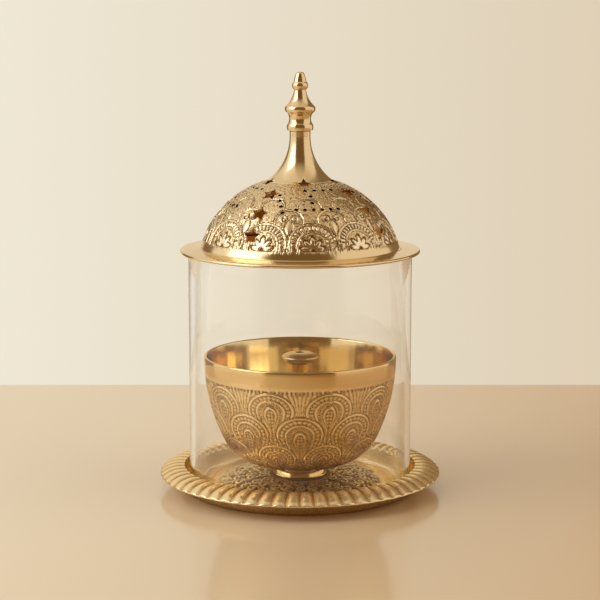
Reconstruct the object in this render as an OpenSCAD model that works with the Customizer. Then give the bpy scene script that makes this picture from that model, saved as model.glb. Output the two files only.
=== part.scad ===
// Akhand diya: an oil lamp whose flame burns inside a glass chimney, under a pierced dome lid.
// All sizes are in millimetres. The lamp stands on z = 0, its axis is +Z and its front is -Y.

/* [Glass chimney] */
// Outside diameter of the glass tube
glass_d = 110.6; // [100:0.2:122]
// Wall of the glass tube
glass_wall = 2.5; // [1.8:0.1:3.5]
// Height of the glass tube
glass_h = 117.4; // [105:0.2:150]

/* [Tray] */
// Thickness of the tray's sheet
tray_sheet = 1.5; // [1:0.1:2]
// Rise of the middle plate's edge above the channel that the glass stands in
plate_rise = 2.5; // [2.3:0.1:4]
// Rise of the domed middle plate from its edge to the collar
plate_crown = 2.4; // [1:0.1:3.5]
// Radial gap from the glass to the channel's outer wall
channel_out_gap = 1.1; // [0.5:0.1:2.5]
// Radial gap from the glass to the foot of the middle plate
channel_in_gap = 2.4; // [0.5:0.1:4]
// Radial run of the round step from the plate down to the channel
step_run = 9; // [1:0.1:12]
// Height of the rim's crest above the table
crest_h = 12; // [10:0.2:16]
// Outward lean of the wall from the channel to the crest
wall_lean = 1.1; // [0.4:0.1:3]
// Radial width of the fluted rim
rim_w = 12.5; // [9:0.5:18]
// Fall of the fluted rim from the crest to the outer edge
rim_fall = 4.2; // [2:0.1:6]
// Thickness of the fluted rim at the top of a flute
rim_t = 2; // [1.6:0.1:3]
// Number of flutes round the rim
flute_count = 64; // [48:1:80]
// Depth of the valley between two flutes
flute_depth = 0.9; // [0.4:0.1:1.2]
// Flat land along the top of a flute, where it springs from the crest
flute_land = 0.5; // [0.3:0.1:1]

/* [Collar and foot] */
// Diameter of the collar on the tray
collar_d = 31; // [28:0.5:36]
// Height of the collar
collar_h = 0.6; // [0.5:0.1:2]
// Margin of level plate round the collar
collar_margin = 0.8; // [0.3:0.1:2]
// Diameter of the bowl's foot at its bottom bead
foot_d = 27.2; // [22:0.2:30]
// Height of the foot
foot_h = 5.3; // [4:0.1:9]
// How far the foot's waist is drawn in
foot_waist = 1; // [0.4:0.1:2]

/* [Bowl] */
// Gap all round between the bowl's rim and the glass
bowl_gap = 4.85; // [3:0.05:8]
// Height of the bowl from its floor to its rim
bowl_h = 55.4; // [48:0.2:64]
// Wall of the bowl
bowl_wall = 1.6; // [1.2:0.1:2.4]
// Radius of the tall upper curve of the bowl's side
bowl_side_r = 96.8; // [85:0.2:120]
// Radius of the belly curve that runs into the bowl's floor
bowl_belly_r = 25.8; // [20:0.2:30]

/* [Centre bolt] */
// Diameter of the bolt that clamps the tray, collar, foot and bowl
bolt_d = 5; // [4:0.5:6]
// Diameter of the bolt's low head
bolt_head_d = 10; // [8:0.5:12]
// Height of the bolt's low head
bolt_head_h = 2; // [1:0.1:2.2]
// Diameter of the washer under the head
washer_d = 14; // [12:0.5:18]
// Thickness of the washer
washer_t = 0.6; // [0.4:0.1:0.8]
// Radial clearance of the bolt in the holes that it passes
bolt_gap = 0.2; // [0.1:0.05:0.4]
// Radial room left for the thread in the socket
thread_gap = 0.05; // [0.02:0.01:0.1]

/* [Wick socket] */
// Thickness of the oil seal under the socket
seal_t = 1; // [0.6:0.1:1.6]
// Diameter of the socket's flange and of the seal
socket_flange_d = 20; // [18:0.5:26]
// Thickness of the socket's flange
socket_flange_t = 2; // [1.5:0.1:3]
// Wall of the socket round the stem
socket_wall = 2; // [1.5:0.1:3]
// Solid floor of the socket, tapped for the bolt
socket_floor = 4; // [3:0.1:6]
// Depth of the socket's bore
socket_depth = 6; // [4:0.1:9]
// Radial clearance of the stem in the socket
socket_gap = 0.2; // [0.1:0.05:0.4]

/* [Wick holder] */
// Outside diameter of the wick stem
stem_d = 11.8; // [10:0.2:14]
// Wall of the wick stem
stem_wall = 1.7; // [1.2:0.1:2.4]
// Number of oil windows in the stem
window_count = 3; // [2:1:4]
// Width of an oil window
window_w = 4; // [3:0.1:5]
// Height of an oil window
window_h = 9; // [5:0.5:14]
// Height of an oil window's sill above the socket
window_sill = 1.5; // [0.5:0.1:4]
// Diameter of the wick cap at its widest
cap_d = 18.4; // [16:0.2:24]
// Height of the cap from the stem's top to its widest line
cap_under_h = 3.1; // [2:0.1:5]
// Height of the cap's crown above its widest line
cap_crown_h = 1.5; // [1:0.1:3]
// Swell of the cap's underside
cap_belly = 0.6; // [0.2:0.1:1]
// Swell of the cap's crown
cap_swell = 0.5; // [0.2:0.1:0.8]
// How far the cap's top stands above the bowl's rim
cap_proud = 0.8; // [0:0.1:4]
// Length of the cap's spigot inside the stem
spigot_l = 4.7; // [3:0.1:8]
// Radial clearance of the spigot in the stem
spigot_gap = 0.1; // [0.05:0.05:0.3]
// Diameter of the hole for the wick
wick_d = 4.4; // [3:0.1:5]

/* [Lid flange] */
// How far the flange reaches past the glass
flange_overhang = 4; // [2:0.1:7]
// Thickness of the flange at its outer edge
flange_edge_t = 1.6; // [1.2:0.1:2.4]
// Rise of the flange's top from its edge to the dome's seat
flange_rise = 1; // [0.4:0.1:2]
// Width of the flange that shows outside the dome
flange_ledge = 10.2; // [8:0.1:12]
// How far the flange reaches inside the dome
flange_lip = 1.2; // [0.6:0.1:2]
// Radial clearance of the locating ring inside the glass
ring_gap = 0.5; // [0.3:0.1:0.9]
// Radial width of the locating ring
ring_w = 1.8; // [1.2:0.1:2.4]
// Depth of the locating ring below the flange
ring_depth = 1.2; // [0.8:0.1:2]

/* [Lid dome] */
// Wall of the dome
dome_wall = 1.5; // [1.2:0.1:2]
// Distance of the dome curve's centre below the dome's base
dome_sink = 12.1; // [10:0.1:14]
// Distance of the dome curve's centre from the lamp's axis
dome_offset = 4; // [3:0.1:6]
// Diameter of the line where the neck springs from the dome
crease_d = 31.8; // [26:0.2:36]
// Diameter of the neck at its waist
waist_d = 10.3; // [9:0.1:13]
// Height of the neck's waist above the crease
waist_h = 21.4; // [18:0.2:26]
// Height of the neck's top above its waist
neck_top_h = 3; // [2:0.1:5]
// Length of the neck's solid top, tapped for the finial
plug_l = 8; // [6:0.2:10]

/* [Piercing] */
// Number of times that the pierced pattern repeats round the dome
sector_count = 4; // [3:1:4]
// Turn of the first column of stars from the front
star_turn = -31; // [-45:1:45]
// Radius of a star's points
star_r = 4.8; // [3:0.1:5]
// Radius of a star's inner corners
star_in_r = 2.5; // [1.4:0.1:2.8]
// Diameter of a pierced dot
dot_d = 2; // [1.2:0.1:2.2]
// Number of stars in the crown under the neck
crown_count = 5; // [4:1:6]
// Turn of the crown's first star from the front
crown_turn = 7; // [-30:1:30]
// Radius of a crown star's points
crown_star_r = 3.8; // [3:0.1:4.2]
// Radius of a crown star's inner corners
crown_star_in_r = 1.9; // [1.4:0.1:2.4]

/* [Finial] */
// Height of the finial above the neck
finial_h = 28.1; // [26:0.1:36]
// Diameter of the base ring
finial_ring_d = 13.2; // [11.5:0.1:16]
// Thickness of the base ring
finial_ring_t = 1.9; // [1.4:0.1:3]
// Diameter of the waist above the ring
finial_waist_d = 10.2; // [8.5:0.1:11]
// Diameter of the bell's rounded edge
finial_bell_d = 15.2; // [13:0.1:18]
// Thickness of the bell's rounded edge
finial_bell_t = 1.9; // [1.4:0.1:2.6]
// Height of the bell's edge above the neck
finial_bell_h = 10.3; // [8:0.1:12]
// Diameter of the stem above the bell
finial_stem_d = 6; // [4.5:0.1:6.5]
// Dip of the bell's hollow slope
finial_slope_dip = 0.8; // [0.4:0.1:1.2]
// Diameter of the bead
finial_bead_d = 7.9; // [7:0.1:9.5]
// Thickness of the bead
finial_bead_t = 3.8; // [3:0.1:5]
// Height of the bead's middle above the neck
finial_bead_h = 21.6; // [19:0.1:23]
// Diameter of the blunt tip
finial_tip_d = 4.2; // [3.4:0.1:5.2]
// Rise of the rounded tip
finial_tip_rise = 0.9; // [0.5:0.1:1.5]
// Diameter of the spigot
finial_spigot_d = 5; // [4:0.1:6]
// Length of the spigot
finial_spigot_l = 6; // [4:0.1:7]

/* [Hidden] */
$fn = 96;

polished = "#d0aa66";
chased = "#b98f4c";
steel = "#9a9a98";
rubber = "#3a3532";
clear_glass = [0.85, 0.92, 0.92, 0.35];

// Radii
glass_r = glass_d / 2;
glass_in_r = glass_r - glass_wall;
channel_out_r = glass_r + channel_out_gap;
channel_in_r = glass_in_r - channel_in_gap;
crest_r = channel_out_r + wall_lean;
tray_r = crest_r + rim_w;
bowl_r = glass_in_r - bowl_gap;
bolt_hole_r = bolt_d / 2 + bolt_gap;
stem_r = stem_d / 2;
stem_in_r = stem_r - stem_wall;
flange_r = glass_r + flange_overhang;
dome_r = flange_r - flange_ledge;

// Heights, from the table upwards
plate_z = tray_sheet + plate_rise;
seat_z = plate_z + plate_crown;
foot_z = seat_z + collar_h;
bowl_z = foot_z + foot_h;
rim_z = bowl_z + bowl_h;
seal_z = bowl_z + bowl_wall;
socket_z = seal_z + seal_t;
stem_z = socket_z + socket_floor;
socket_top_z = stem_z + socket_depth;
cap_z = rim_z + cap_proud - cap_crown_h - cap_under_h;
glass_z = tray_sheet;
glass_top_z = glass_z + glass_h;
dome_z = glass_top_z + flange_edge_t + flange_rise;

// The dome's curve, and the neck's curve that rises from its crease
dome_arc_r = norm([dome_r - dome_offset, dome_sink]);
dome_arc_z = dome_z - dome_sink;
crease_r = crease_d / 2;
crease_z = dome_arc_z + sqrt(pow(dome_arc_r, 2) - pow(crease_r - dome_offset, 2));
waist_z = crease_z + waist_h;
neck_z = waist_z + neck_top_h;
waist_out = crease_r - waist_d / 2;
flare_r = (pow(waist_out, 2) + pow(waist_h, 2)) / (2 * waist_out);

// How far up the dome's curve the stars sit, in degrees
star_raises = [28.6, 44, 60.5];
crown_raise = 74;

// Rows of dots in one sector: turn past the stars, raise, step of turn, step of raise, number of dots
dot_rows = [
  [10.5, 60, 2.5, -5, 4],
  [28, 47.5, 6.8, 0, 6],
  [37, 65, 11, 0, 4],
  [41.5, 53, 0, 6, 2]
];

// Small edges, and how far a cutter reaches past what it cuts
edge = 0.4;
past = 1;

// Points of a circular arc about a centre
function arc(centre, r, from, to, steps) =
  [for (i = [0:steps]) let (a = from + (to - from) * i / steps) centre + r * [cos(a), sin(a)]];

// Points of an arc from p to q that swells to its right by the given rise, or dips where it is negative
function bow(p, q, rise, steps = 8) =
  let (
    run = norm(q - p),
    along = (q - p) / run,
    out = [along.y, -along.x],
    r = (run * run / 4 + rise * rise) / (2 * abs(rise)) * sign(rise),
    centre = (p + q) / 2 + out * (rise - r),
    half = asin(min(1, run / 2 / abs(r)))
  )
  [for (i = [0:steps]) let (a = half * (2 * i / steps - 1))
    centre + r * cos(a) * out + abs(r) * sin(a) * along];

module turned(points) {
  rotate_extrude() polygon(points);
}

module disc(r, h, z, hole_r) {
  translate([0, 0, z]) difference() {
    cylinder(h = h, r = r);
    translate([0, 0, -past]) cylinder(h = h + 2 * past, r = hole_r);
  }
}

// Cuts the valleys between the flutes: each valley's sides are the round shoulders of two flutes
module valleys() {
  fall_angle = atan(rim_fall / rim_w);
  half_w = crest_r * sin(180 / flute_count) - flute_land / 2;
  shoulder_r = (pow(half_w, 2) + pow(flute_depth, 2)) / (2 * flute_depth);
  cusp_angle = atan2(shoulder_r - flute_depth, -half_w);
  shoulder = arc([half_w, -shoulder_r], shoulder_r, 90, cusp_angle, 4);
  mirrored = [for (i = [3:-1:0]) [-shoulder[i].x, shoulder[i].y]];
  for (i = [0:flute_count - 1])
    rotate([0, 0, 360 / flute_count * i])
      translate([crest_r, 0, crest_h])
        rotate([0, 90 + fall_angle, 0])
          translate([0, 0, tray_sheet])
            linear_extrude(rim_w * 2)
              rotate(90) polygon(concat(shoulder, mirrored, [[-half_w, past], [half_w, past]]));
}

module tray() {
  plate_r = channel_in_r - step_run;
  edge_z = crest_h - rim_fall;
  bend = tray_sheet / 2;
  half_step = [step_run, -plate_rise] / 2;
  sag = norm(half_step) / 2 * tan(atan2(plate_rise, step_run) / 2);
  seat = [collar_d / 2 + collar_margin, seat_z];
  under = [plate_r - bend, plate_rise];
  top = [plate_r, plate_z];
  crown_sag = norm(seat - top) / 2 * tan(atan2(plate_crown, plate_r - seat.x) / 2);
  color(polished) difference() {
    turned(concat(
      [[bolt_hole_r, seat_z - tray_sheet]],
      bow(seat - [0, tray_sheet], under, -crown_sag, 6),
      bow(under, under + half_step, -sag, 4),
      bow(under + half_step, under + 2 * half_step, sag, 4),
      [
        [channel_out_r - bend, 0],
        [channel_out_r + tray_sheet, tray_sheet + bend],
        [crest_r + tray_sheet, crest_h - rim_t - edge],
        [tray_r - edge, edge_z - rim_t],
        [tray_r, edge_z - rim_t + edge],
        [tray_r, edge_z],
        [crest_r + edge, crest_h],
        [crest_r, crest_h - edge],
        [channel_out_r, tray_sheet]
      ],
      bow(top + 2 * half_step, top + half_step, -sag, 4),
      bow(top + half_step, top, sag, 4),
      bow(top, seat, crown_sag, 6),
      [[bolt_hole_r, seat_z]]
    ));
    valleys();
  }
}

module collar() {
  r = collar_d / 2;
  color(polished) turned([
    [bolt_hole_r, seat_z],
    [r, seat_z],
    [r, foot_z - edge],
    [r - edge, foot_z],
    [bolt_hole_r, foot_z]
  ]);
}

module bowl_foot() {
  r = foot_d / 2;
  bead_h = foot_h / 3;
  color(polished) turned(concat(
    [[bolt_hole_r, foot_z]],
    bow([r - edge, foot_z], [r - edge, foot_z + bead_h], edge),
    bow([r - edge, foot_z + bead_h], [r - edge, bowl_z], -foot_waist),
    [[bolt_hole_r, bowl_z]]
  ));
}

// The bowl's side is two arcs: a tall one, upright at the rim, and a belly that is level at the floor
module bowl() {
  side = [bowl_r - bowl_side_r, rim_z];
  belly_r = side.x + sqrt(pow(bowl_side_r - bowl_belly_r, 2) - pow(bowl_h - bowl_belly_r, 2));
  belly = [belly_r, bowl_z + bowl_belly_r];
  join_angle = atan2(belly.y - side.y, belly.x - side.x);
  lip_r = bowl_wall / 2;
  lip_angle = -asin(lip_r / bowl_side_r);
  outside = concat(
    arc(belly, bowl_belly_r, -90, join_angle, 10),
    arc(side, bowl_side_r, join_angle, lip_angle, 8)
  );
  inside = concat(
    arc(side, bowl_side_r - bowl_wall, lip_angle, join_angle, 8),
    arc(belly, bowl_belly_r - bowl_wall, join_angle, -90, 10)
  );
  lip = bow(outside[len(outside) - 1], inside[0], lip_r);
  color(chased) turned(concat([[bolt_hole_r, bowl_z]], outside, lip, inside, [[bolt_hole_r, seal_z]]));
}

module centre_bolt() {
  head_top_z = seat_z - tray_sheet - washer_t;
  head_z = head_top_z - bolt_head_h;
  head_r = bolt_head_d / 2;
  color(steel) turned([
    [0, head_z],
    [head_r - edge, head_z],
    [head_r, head_z + edge],
    [head_r, head_top_z],
    [bolt_d / 2, head_top_z],
    [bolt_d / 2, stem_z - edge],
    [bolt_d / 2 - edge, stem_z],
    [0, stem_z]
  ]);
}

module bolt_washer() {
  color(steel) disc(washer_d / 2, washer_t, seat_z - tray_sheet - washer_t, bolt_hole_r);
}

module oil_seal() {
  color(rubber) disc(socket_flange_d / 2, seal_t, seal_z, bolt_hole_r);
}

module wick_socket() {
  bore_r = stem_r + socket_gap;
  wall_r = bore_r + socket_wall;
  tapped_r = bolt_d / 2 + thread_gap;
  color(polished) turned([
    [tapped_r, socket_z],
    [socket_flange_d / 2, socket_z],
    [socket_flange_d / 2, socket_z + socket_flange_t - edge],
    [socket_flange_d / 2 - edge, socket_z + socket_flange_t],
    [wall_r, socket_z + socket_flange_t],
    [wall_r, socket_top_z - edge],
    [wall_r - edge, socket_top_z],
    [bore_r, socket_top_z],
    [bore_r, stem_z],
    [tapped_r, stem_z]
  ]);
}

module wick_stem() {
  sill_z = socket_top_z + window_sill;
  color(polished) difference() {
    disc(stem_r, cap_z - stem_z, stem_z, stem_in_r);
    for (i = [0:window_count - 1])
      rotate([0, 0, 360 / window_count * i])
        translate([0, -window_w / 2, sill_z])
          cube([stem_r + past, window_w, window_h]);
  }
}

module wick_cap() {
  wick_r = wick_d / 2;
  spigot_r = stem_in_r - spigot_gap;
  wide_z = cap_z + cap_under_h;
  top_z = wide_z + cap_crown_h;
  color(polished) turned(concat(
    [
      [wick_r, cap_z - spigot_l],
      [spigot_r, cap_z - spigot_l],
      [spigot_r, cap_z],
      [stem_r, cap_z]
    ],
    bow([stem_r, cap_z], [cap_d / 2, wide_z - edge], cap_belly),
    bow([cap_d / 2, wide_z], [wick_r + edge, top_z], cap_swell),
    [[wick_r, top_z - edge]]
  ));
}

module glass_chimney() {
  color(clear_glass) disc(glass_r, glass_h, glass_z, glass_in_r);
}

module lid_flange() {
  hole_r = dome_r - dome_wall - flange_lip;
  edge_z = glass_top_z + flange_edge_t;
  round_r = flange_edge_t / 3;
  color(polished) turned(concat(
    [[hole_r, glass_top_z]],
    bow([flange_r - round_r, glass_top_z], [flange_r - round_r, edge_z], round_r),
    [
      [dome_r + edge, dome_z],
      [hole_r, dome_z]
    ]
  ));
}

module locating_ring() {
  r = glass_in_r - ring_gap;
  color(polished) disc(r, ring_depth, glass_top_z - ring_depth, r - ring_w);
}

// Half of the lid's meridian inside the dome's arc and the neck's flare, both drawn in by the inset
module lid_half(inset, foot_z, top_z) {
  intersection() {
    translate([dome_offset, dome_arc_z]) circle(r = dome_arc_r - inset);
    translate([0, foot_z]) square([dome_arc_r + dome_offset, dome_arc_r * 2]);
  }
  difference() {
    translate([0, dome_z + past]) square([crease_r + past, top_z - dome_z - past]);
    translate([waist_d / 2 + flare_r, waist_z]) circle(r = flare_r + inset);
  }
}

module star(r, in_r) {
  polygon([for (i = [0:9]) (i % 2 == 0 ? r : in_r) * [-cos(36 * i), sin(36 * i)]]);
}

// Puts a cutter through the dome's wall, turned from the front and raised along the dome's curve
module pierce(turn, raise) {
  depth = dome_wall + 4 * past;
  rotate([0, 0, turn - 90])
    translate([dome_offset, 0, dome_arc_z])
      rotate([0, 90 - raise, 0])
        translate([0, 0, dome_arc_r - depth + past])
          linear_extrude(depth + past) children();
}

module piercing() {
  for (s = [0:sector_count - 1]) {
    turn = star_turn + 360 / sector_count * s;
    for (raise = star_raises) pierce(turn, raise) star(star_r, star_in_r);
    for (row = dot_rows)
      for (i = [0:row[4] - 1])
        pierce(turn + row[0] + row[2] * i, row[1] + row[3] * i) circle(d = dot_d);
  }
  for (i = [0:crown_count - 1])
    pierce(crown_turn + 360 / crown_count * i, crown_raise) star(crown_star_r, crown_star_in_r);
}

module lid_dome() {
  color(chased) difference() {
    rotate_extrude() difference() {
      lid_half(0, dome_z, neck_z);
      lid_half(dome_wall, dome_z - past, neck_z - plug_l);
    }
    piercing();
    translate([0, 0, neck_z - plug_l - past])
      cylinder(h = plug_l + 2 * past, r = finial_spigot_d / 2 + thread_gap);
  }
}

module finial() {
  ring_r = finial_ring_d / 2 - edge;
  ring_top_z = neck_z + finial_ring_t;
  bell_r = finial_bell_d / 2 - edge;
  bell_z = neck_z + finial_bell_h;
  bell_half = finial_bell_t / 2;
  stem_r = finial_stem_d / 2;
  bead_z = neck_z + finial_bead_h;
  bead_half = finial_bead_t / 2;
  tip_z = neck_z + finial_h;
  waist_dip = (ring_r + bell_r - finial_waist_d) / 2;
  color(polished) turned(concat(
    [
      [0, neck_z - finial_spigot_l],
      [finial_spigot_d / 2, neck_z - finial_spigot_l],
      [finial_spigot_d / 2, neck_z]
    ],
    bow([ring_r, neck_z], [ring_r, ring_top_z], edge),
    bow([ring_r, ring_top_z], [bell_r, bell_z - bell_half], -waist_dip, 12),
    bow([bell_r, bell_z - bell_half], [bell_r, bell_z + bell_half], edge),
    bow([bell_r, bell_z + bell_half], [stem_r, bead_z - bead_half - edge], -finial_slope_dip, 12),
    bow([stem_r, bead_z - bead_half], [stem_r, bead_z + bead_half], finial_bead_d / 2 - stem_r),
    bow([finial_tip_d / 2, tip_z - finial_tip_rise], [0, tip_z], edge)
  ));
}

tray();
collar();
bowl_foot();
bowl();
centre_bolt();
bolt_washer();
oil_seal();
wick_socket();
wick_stem();
wick_cap();
glass_chimney();
lid_flange();
locating_ring();
lid_dome();
finial();
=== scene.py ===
# %% [markdown]
# # An akhand diya, dressed in brass and glass
# This lesson dresses the solid model of an oil lamp: a fluted brass tray, a chased brass bowl that holds
# the oil, a wick holder, a clear glass chimney and a pierced brass lid. The solids are loaded as a fixed
# frame and stay where they are. Each piece that needs a finer surface is modelled here in the same place,
# rides on the same body, and stands for its solid.

# %% Load the frame
import math

import bpy
import numpy as np
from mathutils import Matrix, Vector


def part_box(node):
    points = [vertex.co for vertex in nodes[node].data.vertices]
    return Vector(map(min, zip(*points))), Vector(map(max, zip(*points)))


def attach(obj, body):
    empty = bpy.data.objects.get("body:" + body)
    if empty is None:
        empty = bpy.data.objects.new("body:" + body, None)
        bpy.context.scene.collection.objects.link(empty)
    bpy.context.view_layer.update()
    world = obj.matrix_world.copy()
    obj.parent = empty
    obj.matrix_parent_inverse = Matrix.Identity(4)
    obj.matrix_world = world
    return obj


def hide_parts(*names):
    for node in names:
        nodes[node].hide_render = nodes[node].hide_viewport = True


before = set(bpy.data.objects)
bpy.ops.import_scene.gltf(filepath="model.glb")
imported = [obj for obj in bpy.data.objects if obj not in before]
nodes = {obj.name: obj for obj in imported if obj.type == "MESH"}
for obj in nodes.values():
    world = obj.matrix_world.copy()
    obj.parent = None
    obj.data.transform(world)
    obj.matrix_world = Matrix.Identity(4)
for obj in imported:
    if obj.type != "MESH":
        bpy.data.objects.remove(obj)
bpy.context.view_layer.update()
MM = 0.001

# %% [markdown]
# ## The camera
# The lamp is seen from a little above, from about a metre away, through a long lens, so its circles are
# flat ellipses and its upright sides stay upright. A camera could be aimed with a constraint, but a place
# and a tilt are enough here, because the lamp's axis is in the middle of the picture.

# %% Place the camera
camera_distance = 0.9419
camera_height = 0.2501
camera_tilt = 80.626
camera_lens = 115.39

bpy.ops.object.select_all(action="DESELECT")
bpy.ops.object.camera_add(
    location=(0, -camera_distance, camera_height),
    rotation=(math.radians(camera_tilt), 0, 0),
)
camera = bpy.context.active_object
camera.data.lens = camera_lens
camera.data.sensor_width = 36
bpy.context.scene.camera = camera
print("camera:", tuple(round(x, 3) for x in camera.location))

# %% [markdown]
# ## Sizes from the frame
# The sizes that other pieces share are read from the frame's boxes, in millimetres, so each dressed piece
# fits the solid that it stands for. A box gives a turned piece's largest radius, its foot and its top.

# %% Read the shared sizes


def reach(node):
    """Largest radius, lowest and highest point of a node, in millimetres."""
    low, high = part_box(node)
    return high.x / MM, low.z / MM, high.z / MM


tray_r, _, crest_z = reach("tray")
glass_r, glass_z, glass_top_z = reach("glass_chimney")
collar_r, seat_z, foot_z = reach("collar")
foot_r, _, bowl_z = reach("bowl_foot")
bowl_r, _, rim_z = reach("bowl")
flange_r, _, dome_z = reach("lid_flange")
dome_r, _, neck_z = reach("lid_dome")
cap_r, _, cap_top_z = reach("wick_cap")
tip_z = reach("finial")[2]
stem_r, _, cap_z = reach("wick_stem")
print("tray", tray_r, "glass", glass_r, "bowl", bowl_r, "dome", dome_r, "top", tip_z)

# %% [markdown]
# ## Turning on a lathe
# Almost every piece of the lamp is spun or turned, so one helper does what a lathe does. It starts from a
# plane, merges it to one point, draws the outline by extruding that point again and again, and spins the
# line round the lamp's axis. A screw modifier could do the same, but the spin operator leaves a plain mesh
# whose rings are evenly spaced, which the chasing needs later. The first spin makes one sector and the
# second one copies it round, because a long spin slows down as the mesh grows. The sectors' edges are
# merged, and the normals are then made to point outwards. An outline is a chain of corners, and the way
# from one corner to the next is straight or swells to one side.

# %% Helpers that draw and turn an outline
weld = 0.004 * MM
smooth_below = math.radians(35)


def arc(centre, radius, start, end, steps):
    """Points of a circular arc about a centre, between two angles in degrees."""
    angles = np.radians(np.linspace(start, end, steps + 1))
    return [(centre[0] + radius * math.cos(a), centre[1] + radius * math.sin(a)) for a in angles]


def bow(p, q, rise, steps):
    """Points from p to q that swell to the right of the way by the given rise, or dip if it is negative."""
    p = np.array(p, float)
    q = np.array(q, float)
    run = np.linalg.norm(q - p)
    along = (q - p) / run
    out = np.array([along[1], -along[0]])
    radius = (run * run / 4 + rise * rise) / (2 * abs(rise))
    middle = (p + q) / 2 + out * (rise - math.copysign(radius, rise))
    half = math.asin(min(1, run / 2 / radius))
    turns = np.linspace(-half, half, steps + 1)
    side = math.copysign(radius, rise) * out
    return [tuple(middle + math.cos(a) * side + math.sin(a) * radius * along) for a in turns]


def line(p, q, steps):
    """Evenly spaced points from p to q."""
    run = (q[0] - p[0], q[1] - p[1])
    return [(p[0] + run[0] * i / steps, p[1] + run[1] * i / steps) for i in range(steps + 1)]


def drawn(start, *moves):
    """Points of an outline. A move is the next corner, or the next corner with a swell and its steps."""
    points = [start]
    here = start
    for move in moves:
        corner, swell, steps = move if len(move) == 3 else (move, 0, 1)
        points += bow(here, corner, swell, steps) if swell else line(here, corner, steps)
        here = corner
    return points


def without_repeats(points):
    """The same outline, without a point that lies on the one before it."""
    kept = [points[0]]
    for point in points[1:]:
        if math.dist(point, kept[-1]) * MM > 2 * weld:
            kept.append(point)
    return kept


def turned(name, outline, sectors, steps, closed=True):
    """Turns an outline of (radius, height) points, in millimetres, round the axis in equal sectors."""
    points = without_repeats(outline + outline[:1] if closed else outline)
    bpy.ops.object.select_all(action="DESELECT")
    bpy.ops.mesh.primitive_plane_add(size=MM)
    piece = bpy.context.active_object
    piece.name = name
    piece.data.name = name
    bpy.ops.object.mode_set(mode="EDIT")
    bpy.ops.mesh.merge(type="CENTER")
    bpy.ops.transform.translate(value=(points[0][0] * MM, 0, points[0][1] * MM))
    for here, there in zip(points, points[1:]):
        step = ((there[0] - here[0]) * MM, 0, (there[1] - here[1]) * MM)
        bpy.ops.mesh.extrude_vertices_move(TRANSFORM_OT_translate={"value": step})
    sector = math.tau / sectors
    lathe = {"center": (0, 0, 0), "axis": (0, 0, 1)}
    bpy.ops.mesh.select_all(action="SELECT")
    bpy.ops.mesh.spin(steps=steps, angle=sector, **lathe)
    bpy.ops.mesh.select_all(action="SELECT")
    bpy.ops.mesh.spin(steps=sectors - 1, dupli=True, angle=math.tau - sector, **lathe)
    bpy.ops.mesh.select_all(action="SELECT")
    bpy.ops.mesh.remove_doubles(threshold=weld)
    bpy.ops.mesh.normals_make_consistent(inside=False)
    bpy.ops.object.mode_set(mode="OBJECT")
    bpy.ops.object.shade_smooth_by_angle(angle=smooth_below)
    print(name, "has", len(piece.data.polygons), "faces")
    return piece


# %% [markdown]
# ## Chasing
# Chased ornament is made with blunt punches that sink the ground and leave the lines standing. Modelling
# each line by hand would be endless, so the depth at each point of a turned piece comes from a formula of
# its turn round the axis and its place along the outline. The depth becomes a vertex group, and a Displace
# modifier sinks the surface by it. The same depth is kept as an attribute, because the patina in the
# finish collects where the metal is sunk.

# %% Helpers for chased relief
# Stands for 0 where a formula needs a length above it
tiny = 1e-6


def gathered(items, name):
    """A vector of every vertex or face of a mesh, one row for each."""
    rows = np.empty(len(items) * 3)
    items.foreach_get(name, rows)
    return rows.reshape(-1, 3)


def places(piece):
    """Radius and height in millimetres, azimuth in degrees, and how far each normal leans out and up."""
    spots = gathered(piece.data.vertices, "co") / MM
    normals = gathered(piece.data.vertices, "normal")
    radius = np.hypot(spots[:, 0], spots[:, 1])
    azimuth = np.degrees(np.arctan2(spots[:, 0], -spots[:, 1]))
    outward = (normals[:, :2] * spots[:, :2]).sum(axis=1) / np.maximum(radius, tiny)
    return radius, spots[:, 2], azimuth, outward, normals[:, 2]


def blend_in(low, high, x):
    """0 below low, 1 above high, and a smooth rise between them."""
    share = np.clip((x - low) / (high - low), 0, 1)
    return share * share * (3 - 2 * share)


def ridge(x, low, high, soft):
    """1 between low and high, with soft sides."""
    return blend_in(low - soft, low + soft, x) * (1 - blend_in(high - soft, high + soft, x))


def waves(x, pitch):
    """1 on every multiple of the pitch, 0 halfway between, and a round wave from one to the other."""
    return 0.5 + 0.5 * np.cos(math.tau * x / pitch)


def dome_bump(distance, radius):
    """A round bead's height at a distance from its middle."""
    return np.sqrt(np.clip(1 - (distance / radius) ** 2, 0, 1))


def from_nearest(x, pitch):
    """Distance from the nearest multiple of the pitch."""
    return x - np.round(x / pitch) * pitch


def nearest_turn(azimuth, first, pitch):
    """Degrees from the nearest of the evenly spaced motifs, of which one sits at the first azimuth."""
    return from_nearest(azimuth - first, pitch)


# How sunk the patina takes plain metal to be
plain_depth = 0.3


def keep(piece, name, domain, share):
    """Keeps a share from 0 to 1 for each point or face as an attribute, which the finish reads."""
    layer = piece.data.attributes.new(name, "FLOAT", domain)
    layer.data.foreach_set("value", np.asarray(share, np.float32))


def keep_patina_and_shade(piece, share):
    """Keeps how sunk each point is, from 0 on the ridges to 1. Under the tray's rim and on the collar it is
    painted shade, and in the flute valleys partly so.
    """
    keep(piece, "depth", "POINT", share)


def keep_soot_and_shade(piece, share):
    """Keeps how sooty each face is, from 0 on clean brass to 1; on the collar and the dots' walls the share
    is painted shade.
    """
    keep(piece, "soot_and_shade", "FACE", share)


def looks_inward(piece, heart_z):
    """Which faces of a piece look towards a point on the axis, at a height in millimetres."""
    from_heart = gathered(piece.data.polygons, "center") - (0, 0, heart_z * MM)
    return (from_heart * gathered(piece.data.polygons, "normal")).sum(axis=1) < 0


def pick(piece):
    """Makes a piece the active one, and the only one that is selected."""
    bpy.ops.object.select_all(action="DESELECT")
    piece.select_set(True)
    bpy.context.view_layer.objects.active = piece


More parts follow.
